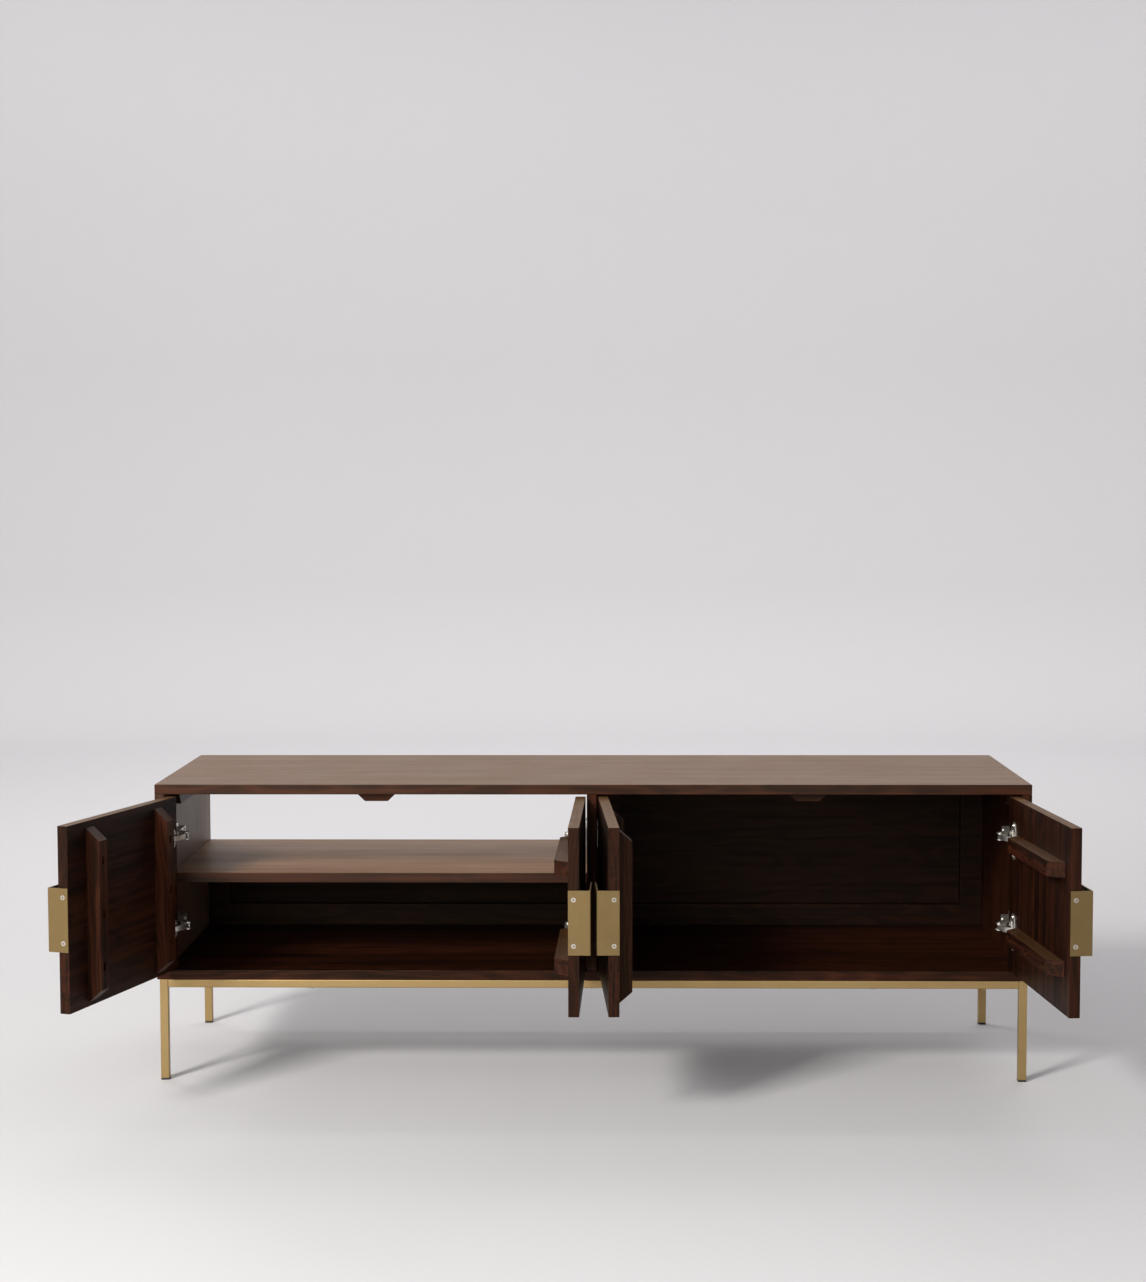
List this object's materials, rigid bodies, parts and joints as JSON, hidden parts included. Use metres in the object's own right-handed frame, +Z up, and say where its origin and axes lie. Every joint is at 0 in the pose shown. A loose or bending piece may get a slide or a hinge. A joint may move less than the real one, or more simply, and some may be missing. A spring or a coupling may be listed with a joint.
{
  "type": "tv stand",
  "caption": "Low dark wood tv stand on a slim brass-coloured metal frame, with hinged battened doors over an open-backed shelf bay and a closed bay.",
  "frame": {"origin": "centre of the cabinet's footprint, on the floor", "axes": "+Z up, +X to the right as seen from the front along the cabinet's length, -Y out of the front where the doors open"},
  "size_m": [1.5225, 0.728, 0.48],
  "materials": {
    "top_board": "satin dark walnut stain with a pale sheen, grain along the length",
    "case_boards": "satin dark reddish walnut stain",
    "door_boards": "satin dark reddish walnut stain with visible grain",
    "battens": "satin dark walnut stain",
    "strips": "satin dark walnut stain",
    "back_sheets": "dark stained plywood, low sheen",
    "frame_metal": "satin pale brass finish",
    "handle_metal": "satin pale brass finish",
    "hinge_metal": "bright nickel plate",
    "screw_metal": "zinc plated steel",
    "end_caps": "matt black plastic"
  },
  "bodies": {
    "carcass": {"top_panel": "top_board", "bottom_panel": "case_boards", "left_side_panel": "case_boards", "right_side_panel": "case_boards", "centre_divider": "case_boards", "left_shelf": "case_boards", "left_back_panel": "back_sheets", "right_back_panel": "back_sheets", "left_back_frame": "strips", "right_back_frame": "strips", "left_top_cleat": "strips", "right_top_cleat": "strips", "left_door_stop": "strips", "right_door_stop": "strips", "front_left_leg": "frame_metal", "front_right_leg": "frame_metal", "rear_left_leg": "frame_metal", "rear_right_leg": "frame_metal", "front_rail": "frame_metal", "rear_rail": "frame_metal", "left_rail": "frame_metal", "right_rail": "frame_metal", "leg_end_caps": "end_caps", "frame_screws": "screw_metal", "door_1_hinge_arms": "hinge_metal", "door_1_hinge_plates": "hinge_metal", "door_2_hinge_arms": "hinge_metal", "door_2_hinge_plates": "hinge_metal", "door_3_hinge_arms": "hinge_metal", "door_3_hinge_plates": "hinge_metal", "door_4_hinge_arms": "hinge_metal", "door_4_hinge_plates": "hinge_metal"},
    "door_1": {"door_1_panel": "door_boards", "door_1_outer_batten": "battens", "door_1_inner_batten": "battens", "door_1_handle": "handle_metal", "door_1_hinge_cups": "hinge_metal", "door_1_screws": "screw_metal"},
    "links_1": {"door_1_hinge_links": "hinge_metal"},
    "door_2": {"door_2_panel": "door_boards", "door_2_upper_batten": "battens", "door_2_lower_batten": "battens", "door_2_handle": "handle_metal", "door_2_hinge_cups": "hinge_metal", "door_2_screws": "screw_metal"},
    "links_2": {"door_2_hinge_links": "hinge_metal"},
    "door_3": {"door_3_panel": "door_boards", "door_3_outer_batten": "battens", "door_3_inner_batten": "battens", "door_3_handle": "handle_metal", "door_3_hinge_cups": "hinge_metal", "door_3_screws": "screw_metal"},
    "links_3": {"door_3_hinge_links": "hinge_metal"},
    "door_4": {"door_4_panel": "door_boards", "door_4_upper_batten": "battens", "door_4_lower_batten": "battens", "door_4_handle": "handle_metal", "door_4_hinge_cups": "hinge_metal", "door_4_screws": "screw_metal"},
    "links_4": {"door_4_hinge_links": "hinge_metal"}
  },
  "joints": [
    {"name": "door_1_swing", "type": "hinge", "parent": "carcass", "child": "door_1", "pos_m": [-0.6785, -0.1964, 0.321], "axis": [0, 0, -1], "range_deg": [-107, 3]},
    {"name": "door_1_links_turn", "type": "hinge", "parent": "door_1", "child": "links_1", "pos_m": [-0.67129, -0.21011, 0.321], "axis": [0, 0, 1], "range_deg": [-135.71, 4.29]},
    {"name": "door_2_swing", "type": "hinge", "parent": "carcass", "child": "door_2", "pos_m": [-0.0135, -0.1964, 0.321], "axis": [0, 0, 1], "range_deg": [-89, 0.25]},
    {"name": "door_2_links_turn", "type": "hinge", "parent": "door_2", "child": "links_2", "pos_m": [-0.02459, -0.20721, 0.321], "axis": [0, 0, -1], "range_deg": [-112.96, 0.82]},
    {"name": "door_3_swing", "type": "hinge", "parent": "carcass", "child": "door_3", "pos_m": [0.0135, -0.1964, 0.321], "axis": [0, 0, -1], "range_deg": [-87, 0.25]},
    {"name": "door_3_links_turn", "type": "hinge", "parent": "door_3", "child": "links_3", "pos_m": [0.02496, -0.20681, 0.321], "axis": [0, 0, 1], "range_deg": [-110.43, 0.82]},
    {"name": "door_4_swing", "type": "hinge", "parent": "carcass", "child": "door_4", "pos_m": [0.6785, -0.1964, 0.321], "axis": [0, 0, 1], "range_deg": [-95, 15]},
    {"name": "door_4_links_turn", "type": "hinge", "parent": "door_4", "child": "links_4", "pos_m": [0.6686, -0.20831, 0.321], "axis": [0, 0, -1], "range_deg": [-120.54, 19.45]}
  ],
  "couplings": [
    {"joint": "door_1_links_turn", "follows": "door_1_swing", "ratio": 1.2636},
    {"joint": "door_2_links_turn", "follows": "door_2_swing", "ratio": 1.2636},
    {"joint": "door_3_links_turn", "follows": "door_3_swing", "ratio": 1.2636},
    {"joint": "door_4_links_turn", "follows": "door_4_swing", "ratio": 1.2636}
  ]
}
